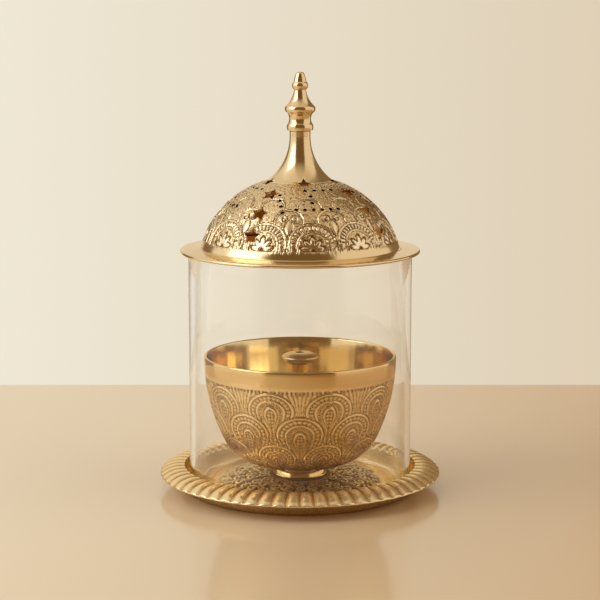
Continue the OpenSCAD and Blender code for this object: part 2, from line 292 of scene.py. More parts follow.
def sink(piece, depth, deepest):
    """Sinks each point along its normal by its share of the deepest cut, in millimetres."""
    group = piece.vertex_groups.new(name="relief")
    sunk = np.flatnonzero(depth > 0)
    for index in sunk:
        group.add([int(index)], float(depth[index]), "REPLACE")
    press = piece.modifiers.new("relief", "DISPLACE")
    press.vertex_group = group.name
    press.mid_level = 0
    press.strength = -deepest * MM
    pick(piece)
    bpy.ops.object.modifier_apply(modifier=press.name)
    piece.vertex_groups.clear()
    print(piece.name, "is sunk at", len(sunk), "points, by", deepest, "mm at most")


def arch_ring(turn, run, top, widest, point, half_turn, half_width):
    """Ring round an arch's middle, 1 on its edge, and distance along the ring in millimetres.

    The arch is round from its top to its widest line and pointed below it, all given as distances run."""
    across = turn / half_turn
    rise = (widest - run) / (widest - top)
    over = np.hypot(across, rise)
    drop = np.clip((run - widest) / (point - widest), 0, 0.98)
    under = np.abs(across) / (1 - drop**1.5)
    ring = np.where(rise > 0, over, under)
    bead_r = 0.77 * half_width
    round_top = np.arctan2(np.abs(across), np.maximum(rise, tiny)) * bead_r
    along = np.where(rise > 0, round_top, bead_r * math.pi / 2 + np.maximum(run - widest, 0))
    return ring, along


# %% [markdown]
# ## The tray
# The tray is a spun brass dish. Its middle is a low domed plate with a chased medallion, the glass stands
# in a channel round the plate, and the rim outside the channel is fluted into 64 round lobes that end in a
# thin lip. The lobes could be one lobe copied round, but the rim is one sheet, so the turned dish is sunk
# between the lobes instead, with ten points to each lobe. That also gives the edge its small scallops. The
# medallion is a ring of outlined petals, filled with rows of curls.

# %% Turn the tray
tray_sheet = 1.5
flute_count = 64
lobe_steps = 10
channel_out_r = glass_r + 1.1
channel_in_r = glass_r - 4.9
step_run = 9.0
plate_rise = 2.5
plate_z = tray_sheet + plate_rise
plate_edge_r = channel_in_r - step_run
seat_r = collar_r + 0.2
crest_r = channel_out_r + 1.1
crest_t = 2.4
crest_round = 0.7
rim_fall = 3.3
rim_swell = 1.2
edge_z = crest_z - rim_fall
edge_round = 0.5
edge_lift = 0.15
lip_t = 1.3
bolt_hole_r = 2.7
bend = tray_sheet / 2
# Swells of the small rounds: in the channel's corner, on the crest, at the edge and under the channel
corner_sag = 0.2
crest_sag = 0.22
edge_sag = 0.15
bottom_sag = 0.5


def level_sag(run, rise):
    """Swell of an arc that is level at one end and climbs a rise over a run."""
    return math.hypot(run, rise) / 2 * math.tan(math.atan2(rise, run) / 2)


half_run = step_run / 2
half_fall = plate_rise / 2
step_sag = level_sag(half_run, half_fall)
crown_sag = level_sag(plate_edge_r - seat_r, seat_z - plate_z)
step_middle = (plate_edge_r + half_run, plate_z - half_fall)
under_middle = (step_middle[0] - bend, step_middle[1] - tray_sheet)
wall_foot = (channel_out_r + 0.1, tray_sheet + 0.9)
wall_top = (crest_r - 0.05, crest_z - crest_round)

tray_outline = drawn(
    (bolt_hole_r, seat_z),
    (seat_r, seat_z),
    ((plate_edge_r, plate_z), -crown_sag, 60),
    (step_middle, -step_sag, 8),
    ((channel_in_r, tray_sheet), step_sag, 8),
    ((channel_out_r - 0.7, tray_sheet), 0, 3),
    (wall_foot, corner_sag, 3),
    (wall_top, 0, 7),
    ((crest_r + crest_round, crest_z), -crest_sag, 4),
    ((tray_r - edge_round, edge_z + edge_lift), -rim_swell, 22),
    ((tray_r, edge_z - edge_round), -edge_sag, 3),
    ((tray_r, edge_z - lip_t + edge_round), 0, 2),
    ((tray_r - edge_round, edge_z - lip_t), -edge_sag, 3),
    ((crest_r + tray_sheet, crest_z - crest_t), 0, 4),
    ((channel_out_r + tray_sheet, tray_sheet), 0, 4),
    ((channel_out_r - bend, 0), -bottom_sag, 4),
    ((channel_in_r - bend, 0), 0, 2),
    (under_middle, -step_sag, 4),
    ((plate_edge_r - bend, plate_z - tray_sheet), step_sag, 4),
    ((seat_r, seat_z - tray_sheet), crown_sag, 6),
    (bolt_hole_r, seat_z - tray_sheet),
)
tray = turned("fluted_tray", tray_outline, flute_count, lobe_steps)

# %% Flute the rim and chase the plate
flute_depth = 1.2
chased_share = 0.5 / flute_depth
# Share of the valleys' depth that is reached on the crest, and share that is lost again at the edge
crest_share = 0.6
edge_loss = 0.3
# How dark the patina is in the valleys, where it is partly painted shade, how dark the painted shade under
# the rim is, and how dark the patina is on bare metal
valley_patina_and_shade = 0.85
under_rim_painted_shade = 0.75
bare_dark = 0.05
medallion_out_r = 40.8
petals = 16
petal_pitch = 360 / petals
petal_half_turn = 11.6
petal_half_width = 7.4
# Distances of a petal's tip, widest line and root from the medallion's edge
petal_runs = (0.2, 6.6, 26.0)
scroll_rows = 4
scroll_pitch = 6.3
scroll_line = 2.5


def lobe_share(azimuth):
    """How far out from a lobe's middle a place lies, from 0 there to 1 in the valley beside it."""
    return np.abs(nearest_turn(azimuth, 90 + 180 / flute_count, 360 / flute_count)) * flute_count / 180


def flute_valleys(radius, height, azimuth, up):
    """Depth between the lobes: a parabola across each lobe, fading out on the wall and under the edge."""
    on_crest = crest_share * blend_in(crest_z - 1.4, crest_z - 0.3, height)
    past_crest = crest_share + (1 - crest_share) * blend_in(0, 2.5, radius - crest_r)
    from_wall = np.where(radius < crest_r + 0.2, on_crest, past_crest)
    along = from_wall * (1 - edge_loss * blend_in(crest_r + 6, tray_r - 0.5, radius))
    on_rim = radius > channel_out_r - 0.2
    on_top = (up > 0.2) | (on_rim & (radius < crest_r + 0.3) & (up > -0.2))
    at_edge = (radius > tray_r - 0.6) & (height > edge_z - 1.0)
    fade = np.where(at_edge & ~on_top, blend_in(edge_z - 1.0, edge_z - 0.2, height), 1)
    return lobe_share(azimuth)**2 * along * fade * (on_top | at_edge) * on_rim


def scrolls(radius, azimuth):
    """Height of rows of curls round the plate, where each curl turns the other way from its neighbours."""
    height = np.zeros(radius.shape)
    for row in range(scroll_rows):
        row_r = medallion_out_r - scroll_pitch * (row + 0.55)
        pitch = 360 / (2 * round(math.pi * row_r / scroll_pitch))
        turn = nearest_turn(azimuth, 0, pitch)
        hand = np.where(np.round((azimuth - turn) / pitch) % 2 == row % 2, 1, -1)
        across = np.radians(turn) * row_r * hand
        away = np.hypot(across, radius - row_r)
        winding = away + scroll_line * np.arctan2(radius - row_r, across) / math.tau
        curl = blend_in(0.36, 0.66, waves(winding, scroll_line)) * (away < 0.52 * scroll_pitch)
        height = np.maximum(height, curl)
    return height


def medallion(radius, azimuth):
    """Depth of the plate's medallion: a ring of outlined petals, filled with rows of curls."""
    inward = medallion_out_r - radius
    turn = nearest_turn(azimuth, 0, petal_pitch)
    ring, _ = arch_ring(turn, inward, *petal_runs, petal_half_turn, petal_half_width)
    curls = scrolls(radius, azimuth)
    height = np.where(ring < 0.86, curls, ridge(ring, 0.9, 1.0, 0.03))
    height = np.where(inward > petal_runs[1] + 5, curls, height)
    edge = blend_in(seat_r, seat_r + 0.3, radius)
    covered = np.maximum(ring < 1.06, blend_in(5.0, 6.0, inward))
    return (1 - height) * edge * covered


radius, height, azimuth, _, up = places(tray)
on_plate = (up > 0.9) & (radius < medallion_out_r)
fluted = flute_valleys(radius, height, azimuth, up)
depth = np.where(on_plate, medallion(radius, azimuth) * chased_share, fluted)
sink(tray, depth, flute_depth)
# Patina and painted shade: a dark line down each flute valley, painted lighter towards the edge
dark_line = blend_in(0.46, 0.88, lobe_share(azimuth)) * blend_in(0.1, 0.3, depth)
valley = valley_patina_and_shade * dark_line * (1 - 0.3 * blend_in(crest_r + 8, crest_r + 12, radius))
# Painted shade: the underside of the rim is painted dark, as the shade over the floor
under_rim = (up < 0.1) & (radius > channel_out_r - 1) & (height < edge_z - lip_t + 0.1)
rim_shade_and_bare_patina = np.where(under_rim, under_rim_painted_shade, bare_dark)
keep_patina_and_shade(tray, np.where(on_plate, depth / chased_share, np.maximum(valley, rim_shade_and_bare_patina)))
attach(tray, "base")
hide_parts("tray")

# %% [markdown]
# ## The collar and the foot
# A thin collar and a short foot lift the bowl off the tray. The foot has a leaning band and a neck above
# it. They are small turned pieces with rounded edges. The solids already have their sizes, but a rounded
# edge catches the light, and that is what makes turned brass look turned. The collar lies in the foot's
# shade, so it is painted dark, with full patina and a brown and black tone, as painted shade.

# %% Turn the collar and the foot
# Painted shade: how dark the collar is painted, for the shade round the foot
collar_painted_shade = 0.75
collar_outline = drawn(
    (bolt_hole_r, seat_z),
    (collar_r, seat_z),
    (collar_r, seat_z + 0.1),
    ((collar_r - 0.5, foot_z), -0.1, 5),
    (bolt_hole_r, foot_z),
)
collar = turned("foot_collar", collar_outline, 10, 16)
foot_band_h = 3.0
foot_band_r = foot_r - 0.15
band_lean = 0.7
neck_dip = 1.25
foot_outline = drawn(
    (bolt_hole_r, foot_z),
    (foot_band_r, foot_z),
    ((foot_band_r, foot_z + 0.5), 0.15, 4),
    ((foot_band_r - band_lean, foot_z + foot_band_h - 0.3), 0.05, 8),
    ((foot_r - neck_dip, foot_z + foot_band_h), 0.1, 3),
    ((foot_r - 0.6, bowl_z), -0.3, 8),
    (bolt_hole_r, bowl_z),
)
foot = turned("bowl_foot_turned", foot_outline, 10, 16)
# Painted shade: the collar takes full patina and a dark brown and black tone
keep_patina_and_shade(collar, np.ones(len(collar.data.vertices)))
keep_soot_and_shade(collar, np.full(len(collar.data.polygons), collar_painted_shade))
for piece, node in ((collar, "collar"), (foot, "bowl_foot")):
    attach(piece, "base")
    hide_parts(node)

# %% [markdown]
# ## The bowl
# The bowl holds the oil. Its outside is chased all over with rows of arches, each lying over the row above
# like scales, under a plain polished band. Its section is two arcs: a tall one that is upright at the rim,
# and a belly that is level at the floor. The arches come from one distance, the ring, which is 0 in an
# arch's middle and 1 on its edge, so that each arch has the same ridges, grooves and row of beads.

# %% Turn the bowl
bowl_wall = 1.6
bowl_side_r = 96.8
bowl_belly_r = 25.8
side_middle = (bowl_r - bowl_side_r, rim_z)
belly_z = bowl_z + bowl_belly_r
belly_x = side_middle[0] + math.sqrt((bowl_side_r - bowl_belly_r) ** 2 - (rim_z - belly_z) ** 2)
belly_middle = (belly_x, belly_z)
join_turn = math.degrees(math.atan2(belly_z - rim_z, belly_x - side_middle[0]))
lip_r = bowl_wall / 2
lip_turn = -math.degrees(math.asin(lip_r / bowl_side_r))
side_run = -math.radians(join_turn) * bowl_side_r
band_run = 9.3
band_turn = -math.degrees(band_run / bowl_side_r)

outer_belly = arc(belly_middle, bowl_belly_r, -90, join_turn, 58)
outer_side = arc(side_middle, bowl_side_r, join_turn, band_turn, 70)
outer_band = arc(side_middle, bowl_side_r, band_turn, lip_turn, 4)
inner_side = arc(side_middle, bowl_side_r - bowl_wall, lip_turn, join_turn, 5)
inner_belly = arc(belly_middle, bowl_belly_r - bowl_wall, join_turn, -90, 7)
lip = bow(outer_band[-1], inner_side[0], lip_r, 6)
bowl_outline = (
    [(bolt_hole_r, bowl_z)]
    + outer_belly
    + outer_side
    + outer_band
    + lip
    + inner_side
    + inner_belly
    + [(bolt_hole_r, bowl_z + bowl_wall)]
)
arches_round = 10
bowl = turned("chased_bowl", bowl_outline, arches_round, 64)

# %% Lay out the bowl's arches
arch_pitch = 360 / arches_round
# Each row: azimuth of its first arch, run of its top, widest line and lowest point, half width in degrees
# and half width in millimetres
arch_rows = (
    (arch_pitch / 2, 10.9, 20.6, 36.5, 14.6, 11.4),
    (0, 23.0, 34.0, 51.0, 15.4, 11.1),
    (arch_pitch / 2, 38.8, 48.0, 62.0, 15.2, 9.3),
    (0, 51.0, 58.5, 71.0, 15.4, 6.6),
)
great_half_width = arch_rows[0][5]
print("arches:", len(arch_rows), "rows of", arches_round)


def bowl_run(radius, height):
    """Distance down the bowl's outside from its rim, in millimetres."""
    on_side = -np.arctan2(height - side_middle[1], radius - side_middle[0]) * bowl_side_r
    belly_turn = np.arctan2(height - belly_middle[1], radius - belly_middle[0])
    on_belly = side_run + (math.radians(join_turn) - belly_turn) * bowl_belly_r
    return np.where(on_side < side_run, on_side, on_belly)


# %% Chase the bowl


def drop_ring(across, below, size):
    """Ring of an arch's drop: 0 in its middle and 1 on its outline, round above and pointed below."""
    sideways = across / (2.7 * size)
    down = below - 2.2 * size
    tail = np.clip(down / (7.0 * size), 0, 0.98)
    return np.where(down < 0, np.hypot(sideways, down / (4.4 * size)), np.abs(sideways) / (1 - tail**1.4))


def beaded_drop(drop, across, below, size):
    """Height of the drop: an outline with a dark line round it, and two columns of beads inside."""
    pitch = 1.8 * size
    away = np.hypot(np.abs(across) - 0.8 * size, from_nearest(below, pitch))
    beads = 0.9 * dome_bump(away, 0.8 * size) * (drop < 0.7)
    return np.maximum.reduce([ridge(drop, 0.84, 1.16, 0.08), beads, np.full(drop.shape, 0.1)])


def arch_height(ring, along, across, below, half_width):
    """Height of an arch: outer ridge, beads, inner ridge, and a hatched field round a beaded drop."""
    size = half_width / great_half_width
    bead_size = max(size, 0.92)
    bead_off = from_nearest(along, 2.15 * bead_size)
    beads = 0.95 * dome_bump(np.hypot(bead_off, (ring - 0.765) * half_width), 0.98 * bead_size)
    hatch = ridge(ring, 0.38, 0.50, 0.02) * blend_in(0.3, 0.7, waves(along, 1.25))
    field = (0.6 - 0.5 * hatch) * (1 - blend_in(0.5, 0.52, ring))
    ridges = np.maximum(ridge(ring, 0.54, 0.635, 0.025), ridge(ring, 0.895, 1.0, 0.025))
    band = 0.12 * ridge(ring, 0.64, 0.91, 0.01)
    height = np.maximum.reduce([ridges, beads * ridge(ring, 0.65, 0.88, 0.01), field, band])
    drop = drop_ring(across, below, size)
    in_drop = (drop < 1.4) & (ring < 0.52)
    return np.where(in_drop, beaded_drop(drop, across, below, size), height)


def leaf_fan(azimuth, run):
    """Height of the strokes that fan up between the first arches, and of the dents under the plain band."""
    fan_root = 27.0
    across = np.radians(nearest_turn(azimuth, 0, arch_pitch)) * bowl_r
    fan = np.degrees(np.arctan2(across, fan_root - run))
    strokes = 0.3 + 0.6 * blend_in(0.2, 0.6, waves(fan, 8.2))
    dent_pitch = 2.4
    dent_across = np.radians(nearest_turn(azimuth, 0, dent_pitch)) * bowl_r
    dents = dome_bump(np.hypot(dent_across / 0.6, (run - band_run - 1.2) / 1.3), 1)
    return strokes * (1 - dents)


def bowl_chasing(azimuth, run):
    """Height of the bowl's chasing, from 0 in the deepest line to 1 on the ridges."""
    height = leaf_fan(azimuth, run)
    for first, top, widest, point, half_turn, half_width in arch_rows:
        turn = nearest_turn(azimuth, first, arch_pitch)
        ring, along = arch_ring(turn, run, top, widest, point, half_turn, half_width)
        across = turn / half_turn * half_width
        height = np.where(ring < 1.05, arch_height(ring, along, across, run - widest, half_width), height)
    return height


def ripples(azimuth):
    """Faint upright ripples inside the bowl, from 0 to 1, which break its reflections into streaks."""
    turn = np.radians(azimuth)
    return np.mean([0.5 + 0.5 * np.cos(count * turn + count) for count in (9, 17, 26, 38, 53)], axis=0)


bowl_cut = 0.5
ripple_share = 0.24
inner_depth = 0.15
chasing_end = 69.0
radius, height, azimuth, outward, up = places(bowl)
run = bowl_run(radius, height)
outside = (outward - up > 0.1) & (run > band_run - 1)
under_band = outside * blend_in(band_run - 0.2, band_run + 0.9, run)
chased = under_band * (1 - blend_in(chasing_end, chasing_end + 1.5, run))
rippled = ripple_share * ripples(azimuth) * np.clip(-outward, 0, 1)
bowl_depth = np.where(outside, (1 - bowl_chasing(azimuth, run)) * chased, rippled)
sink(bowl, bowl_depth, bowl_cut)
plain = np.where(outward > 0, plain_depth, inner_depth)
keep_patina_and_shade(bowl, np.where(outside & (chased > 0.05), bowl_depth, plain))
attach(bowl, "base")
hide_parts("bowl")

# %% [markdown]
# ## The wick holder
# A tube stands in a socket on the bowl's floor and carries a cap shaped like a lens, with a hole for the
# wick. The tube and the socket keep their solids, which are plain and mostly under the rim. The cap shows
# in the bowl's mouth, so it is turned again with round edges, and the walls of its hole are kept dark.

# %% Turn the wick cap
wick_r = 2.2
cap_wide_z = cap_top_z - 2.2
spigot_r = stem_r - 1.8
spigot_z = cap_z - 4.7
skirt_z = cap_z - 0.8
cap_outline = drawn(
    (wick_r, spigot_z),
    (spigot_r, spigot_z),
    (spigot_r, cap_z),
    (stem_r, cap_z),
    (stem_r, skirt_z),
    ((cap_r - 0.55, cap_wide_z - 0.9), 0.5, 10),
    ((cap_r - 0.5, cap_wide_z + 0.5), 0.5, 8),
    ((wick_r + 0.3, cap_top_z), 0.55, 14),
    ((wick_r, cap_top_z - 0.4), 0.08, 4),
)
cap = turned("wick_cap_turned", cap_outline, 8, 16)
radius, height = places(cap)[:2]
keep_patina_and_shade(cap, np.where((radius < wick_r + 0.1) & (height < cap_top_z - 0.3), 1, plain_depth))
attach(cap, "wick_holder")
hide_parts("wick_cap")

# %% [markdown]
# ## The glass chimney
# The chimney is a length of clear tube whose cut ends have been melted smooth in a flame. It is turned with
# its real wall, because light bends at both faces and draws the dark lines along its sides. It ends a hair
# below the flange, so that no two faces share one plane.

# %% Turn the glass chimney
glass_wall = 2.5
glass_in_r = glass_r - glass_wall
seat_gap = 0.05
glass_rim_z = glass_top_z - seat_gap
melt = 0.7
glass_outline = (
    arc((glass_r - melt, glass_z + melt), melt, -90, 0, 4)
    + line((glass_r, glass_z + melt), (glass_r, glass_rim_z - melt), 8)
    + arc((glass_r - melt, glass_rim_z - melt), melt, 0, 90, 4)
    + arc((glass_in_r + melt, glass_rim_z - melt), melt, 90, 180, 4)
    + line((glass_in_r, glass_rim_z - melt), (glass_in_r, glass_z + melt), 8)
    + arc((glass_in_r + melt, glass_z + melt), melt, 180, 270, 4)
)
glass = turned("glass_tube", glass_outline, 16, 16)
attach(glass, "chimney")
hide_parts("glass_chimney")

# %% [markdown]
# ## The lid's flange
# The flange is a flat brass ring that rests on the glass. It thins towards its round edge, and a fine step
# near the dome shows where the two are soldered.

# %% Turn the flange
flange_edge_t = 1.6
flange_round = flange_edge_t / 2
flange_flat_r = flange_r - flange_round
flange_edge_z = glass_top_z + flange_edge_t
flange_hole_r = dome_r - 2.7
flange_outline = drawn(
    (flange_hole_r, glass_top_z),
    (flange_hole_r + 1, glass_top_z),
    ((flange_flat_r, glass_top_z), 0, 6),
    ((flange_flat_r, flange_edge_z), flange_round, 8),
    ((dome_r + 1.2, dome_z - 0.25), 0, 6),
    (dome_r + 1.0, dome_z - 0.05),
    (dome_r + 0.4, dome_z),
    (flange_hole_r, dome_z),
)
flange = turned("lid_flange_ring", flange_outline, 16, 16)
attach(flange, "lid")
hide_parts("lid_flange")

# %% [markdown]
# ## The pierced dome
# The dome is spun thin, chased, and then pierced with stars and dots that let out the light and the hot
# air. Above it a flared neck rises to the finial. The dome is turned and chased as the bowl was, and the
# faces inside it are kept a smoky brown. The holes are cut last, as on the real lid: each cutter is
# modelled from a circle, moved to its place and turned to face out of the dome, and a Boolean modifier
# takes all the cutters out at once. The walls of the cuts bring their own tone along: the stars' walls a
# light sooty brown, and the dots' walls black, which is painted shade that makes the dots look black.

# %% Turn the dome and its neck
dome_wall = 1.5
dome_sink = 12.1
dome_middle = (4.0, dome_z - dome_sink)
dome_arc_r = math.hypot(dome_r - dome_middle[0], dome_sink)
base_raise = math.degrees(math.asin(dome_sink / dome_arc_r))
crease_r = 15.9
crease_raise = math.degrees(math.acos((crease_r - dome_middle[0]) / dome_arc_r))
crease_z = dome_middle[1] + dome_arc_r * math.sin(math.radians(crease_raise))
waist_r = 5.15
waist_z = neck_z - 3
flare_r = ((crease_r - waist_r) ** 2 + (waist_z - crease_z) ** 2) / (2 * (crease_r - waist_r))
flare_middle = (waist_r + flare_r, waist_z)
flare_turn = 180 + math.degrees(math.asin((waist_z - crease_z) / flare_r))
dome_band_h = 3.6
band_top_raise = base_raise + math.degrees(dome_band_h / dome_arc_r)
plug_z = neck_z - 8
plug_hole_r = 2.55
inner_arc_r = dome_arc_r - dome_wall
inner_base_raise = math.degrees(math.asin(dome_sink / inner_arc_r))
inner_flare_r = flare_r + dome_wall
inner_flare_turn = 180 + math.degrees(math.asin((waist_z - plug_z) / inner_flare_r))
inner_flare_end = 180 + math.degrees(math.asin((waist_z - crease_z + 0.6) / inner_flare_r))
neck_lip = 0.15

dome_outline = (
    arc(dome_middle, dome_arc_r, base_raise, band_top_raise, 3)
    + arc(dome_middle, dome_arc_r, band_top_raise, crease_raise, 104)
    + arc(flare_middle, flare_r, flare_turn, 180.5, 14)
    + line((waist_r, waist_z), (waist_r, neck_z - 0.8), 2)
    + bow((waist_r, neck_z - 0.7), (waist_r, neck_z - 0.1), neck_lip, 4)
    + [(plug_hole_r, neck_z), (plug_hole_r, plug_z)]
    + arc(flare_middle, inner_flare_r, inner_flare_turn, inner_flare_end, 4)
    + arc(dome_middle, inner_arc_r, crease_raise, inner_base_raise, 9)
)
dome_arches = 12
dome = turned("pierced_dome", dome_outline, dome_arches, 50)

# %% Shapes that the dome's chasing is made of
dome_pitch = 360 / dome_arches
arch_first = 7.6
arch_foot = dome_band_h
groove = 0.42
far_outside = -9.0
# Inner and outer radius of the raised lines: the two of a great arch, then one for each row above it
great_lines = ((10.95, 11.7), (7.1, 7.8))
second_line = (6.7, 7.35)
third_line = (5.6, 6.1)
# Petals of a palmette: their leans in degrees, the length of an upright one and the half width of each
palmette_leans = (-76, -38, 0, 38, 76)
palmette_length = 2.9
palmette_half = 1.15
# Place and pitch of the curls in a second-row arch, and how far the bud hangs below the arch's middle
curl_aside = 2.6
curl_above = 2.0
curl_pitch = 1.7
bud_drop = 3.0


def wire(ground, x, low, high):
    """Lays a raised line between low and high over a ground, with a sunk groove on each side of it."""
    sunk = ground * (1 - ridge(x, low - groove, high + groove, 0.12))
    return np.maximum(sunk, ridge(x, low, high, 0.15))


def lay_on(height, inside, shape):
    """Lays a raised shape on a height where inside is above 0, with a sunk line round it."""
    height = height * (1 - ridge(inside, -0.5, 0.05, 0.1))
    return np.where(inside > 0, shape * blend_in(0, 0.3, inside), height)


def stilted(across, rise):
    """Distance from the middle of an arch whose sides run straight down below its middle."""
    return np.hypot(across, np.maximum(rise, 0))


def palmette(height, across, rise):
    """Lays five petals that fan out from a root over a height, the middle one longest."""
    inside = np.full(across.shape, far_outside)
    for lean in palmette_leans:
        turn = math.radians(lean)
        length = palmette_length - 0.007 * abs(lean)
        along = across * math.sin(turn) + rise * math.cos(turn) - length - 0.9
        beside = across * math.cos(turn) - rise * math.sin(turn)
        inside = np.maximum(inside, palmette_half * (1 - np.hypot(along / length, beside / palmette_half)))
    return lay_on(height, inside, 1)


def great_arch(ground, across, rise):
    """Height of a great arch: two raised lines with a barred band between them, round a palmette."""
    away = stilted(across, rise)
    along = np.arctan2(np.abs(across), np.maximum(rise, tiny)) * 9.5 + np.maximum(-rise, 0)
    bars = 0.95 - 0.9 * blend_in(0.5, 0.85, waves(along, 1.9))
    height = np.where((away > great_lines[1][1]) & (rise > 1.2), bars, ground)
    for low, high in great_lines:
        height = wire(height, away, low, high)
    return palmette(height, across, rise + 2.2)


def small_arch(ground, across, rise):
    """Height of a second-row arch, with a folded bud under two curls inside it."""
    height = wire(ground, stilted(across, rise), *second_line)
    aside = np.abs(across) - curl_aside
    above = rise - curl_above
    curl_away = np.hypot(aside, above)
    curl_turn = np.arctan2(above, aside) / math.tau * curl_pitch
    curls = 0.9 * blend_in(0.25, 0.65, waves(curl_away + curl_turn, curl_pitch))
    height = np.where(curl_away < 2.2, curls, height)
    bud_half = 1.8 * np.clip(1 - ((rise + bud_drop) / 4.2) ** 2, 0, 1)
    inside = np.where(np.abs(rise + bud_drop) < 4.7, bud_half - np.abs(across), far_outside)
    folded = 0.5 + 0.5 * np.clip(inside / np.maximum(bud_half, tiny), 0, 1)
    return lay_on(height, inside, folded)


# %% Chase the dome
great_middle = arch_foot + 3.0
second_middle = arch_foot + 15.5
third_middle = arch_foot + 24.0
arch_margin = 0.45
dome_cut = 0.44
inside_soot = 0.5


def punched_ground(radius, height, azimuth, grain):
    """Height of an irregular punched ground: crossing waves of one length, from directions all round."""
    turn = np.radians(azimuth)
    directions = 9
    total = np.zeros(radius.shape)
    for i in range(directions):
        lean = math.acos(1 - 2 * (i + 0.5) / directions)
        spin = i * 2.4
        level = radius * math.sin(lean) * np.cos(turn - spin)
        total += np.cos(math.tau * (level + height * math.cos(lean)) / grain + 1.7 * i)
    return blend_in(0.1, 0.75, np.abs(total) / math.sqrt(directions / 2))


def dome_chasing(azimuth, climb, radius, height):
    """Height of the dome's chasing at a distance up its curve from the base."""
    ground = 0.14 + 0.52 * punched_ground(radius, height, azimuth, 2.2)
    in_line = np.radians(nearest_turn(azimuth, arch_first, dome_pitch)) * radius
    between = np.radians(nearest_turn(azimuth, arch_first + dome_pitch / 2, dome_pitch)) * radius
    chasing = wire(ground, stilted(in_line, climb - third_middle), *third_line)
    second = stilted(between, climb - second_middle) < second_line[1] + arch_margin
    chasing = np.where(second, small_arch(ground, between, climb - second_middle), chasing)
    great = stilted(in_line, climb - great_middle) < great_lines[0][1] + arch_margin
    return np.where(great, great_arch(ground, in_line, climb - great_middle), chasing)


radius, height, azimuth, outward, up = places(dome)
raise_turn = np.degrees(np.arctan2(height - dome_middle[1], radius - dome_middle[0]))
climb = np.radians(raise_turn - base_raise) * dome_arc_r
from_middle = np.hypot(radius - dome_middle[0], height - dome_middle[1])
on_dome = (from_middle > dome_arc_r - 0.3) & (outward + up > 0) & (height < crease_z + 0.3)
top_climb = math.radians(crease_raise - base_raise) * dome_arc_r
over_band = blend_in(arch_foot - 0.3, arch_foot + 0.3, climb)
chased = over_band * (1 - blend_in(top_climb - 2, top_climb - 0.5, climb))
dome_depth = np.where(on_dome, (1 - dome_chasing(azimuth, climb, radius, height)) * chased, 0)
sink(dome, dome_depth, dome_cut)
keep_patina_and_shade(dome, np.where(on_dome & (chased > 0.05), dome_depth, plain_depth))
keep_soot_and_shade(dome, np.where(looks_inward(dome, dome_middle[1]), inside_soot, 0))

# %% Cut the stars and dots
star_radii = (4.8, 2.5)
crown_star_radii = (3.8, 1.9)
dot_radii = (1.0,)
star_corners = 10
dot_corners = 16
cut_depth = 6.0
star_soot = 0.3
# Painted shade: the dots' walls are painted black, so the small holes read as dark
dot_painted_shade = 1.0
first_star = -31
star_raises = (28.6, 44, 60.5)
crown_stars = 5
crown_raise = 74
crown_first = 7
# Rows of dots in each quarter: turn past the stars, raise, step of turn, step of raise, number of dots
dot_rows = ((10.5, 60, 2.5, -5, 4), (28, 47.5, 6.8, 0, 6), (37, 65, 11, 0, 4), (41.5, 53, 0, 6, 2))


def cutter(name, radii, turn, raised, soot_and_shade):
    """A prism through the dome's wall: its corners alternate between the radii, its first one points up."""
    corners = star_corners if len(radii) > 1 else dot_corners
    bpy.ops.object.select_all(action="DESELECT")
    bpy.ops.mesh.primitive_circle_add(vertices=corners, radius=radii[0] * MM, fill_type="NGON")
    piece = bpy.context.active_object
    piece.name = name
    for vertex in piece.data.vertices:
        share = radii[vertex.index % len(radii)] / radii[0]
        vertex.co.x *= share
        vertex.co.y *= share
    bpy.ops.object.mode_set(mode="EDIT")
    bpy.ops.mesh.select_all(action="SELECT")
    bpy.ops.mesh.extrude_region_move(TRANSFORM_OT_translate={"value": (0, 0, cut_depth * MM)})
    bpy.ops.mesh.select_all(action="SELECT")
    bpy.ops.mesh.normals_make_consistent(inside=False)
    bpy.ops.object.mode_set(mode="OBJECT")
    away = dome_arc_r - cut_depth / 2 - dome_wall / 2
    lean = math.radians(raised)
    side = math.radians(turn)
    from_axis = (dome_middle[0] + away * math.cos(lean)) * MM
    level = (dome_middle[1] + away * math.sin(lean)) * MM
    piece.location = (from_axis * math.sin(side), -from_axis * math.cos(side), level)
    piece.rotation_euler = (math.radians(90 - raised), 0, side)
    keep_soot_and_shade(piece, np.full(len(piece.data.polygons), soot_and_shade))
    return piece


cutters = []
for quarter in range(4):
    turn = first_star + 90 * quarter
    for raised in star_raises:
        cutters.append(cutter("star_cutter", star_radii, turn, raised, star_soot))
    for past, raised, turn_step, raise_step, count in dot_rows:
        for i in range(count):
            place = (turn + past + turn_step * i, raised + raise_step * i)
            cutters.append(cutter("dot_cutter", dot_radii, *place, dot_painted_shade))
for i in range(crown_stars):
    turn = crown_first + 360 / crown_stars * i
    cutters.append(cutter("crown_cutter", crown_star_radii, turn, crown_raise, star_soot))
pick(cutters[0])
for piece in cutters:
    piece.select_set(True)
bpy.ops.object.join()
cutting = bpy.context.active_object
bpy.ops.object.transform_apply(location=True, rotation=True, scale=True)
pick(dome)
pierce = dome.modifiers.new("pierce", "BOOLEAN")
pierce.operation = "DIFFERENCE"
pierce.solver = "MANIFOLD"
pierce.object = cutting
bpy.ops.object.modifier_apply(modifier=pierce.name)
bpy.data.objects.remove(cutting)
bpy.ops.object.shade_smooth_by_angle(angle=smooth_below)
print("pierced dome has", len(dome.data.polygons), "faces after", len(cutters), "cuts")
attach(dome, "lid")
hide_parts("lid_dome")

# %% [markdown]
# ## The finial
# The finial is turned from a rod: a ring, a waist, a bell with a round edge, a slender stem, a bead and a
# blunt tip. Its outline is drawn with arcs, so the reflections run down it in smooth bands.

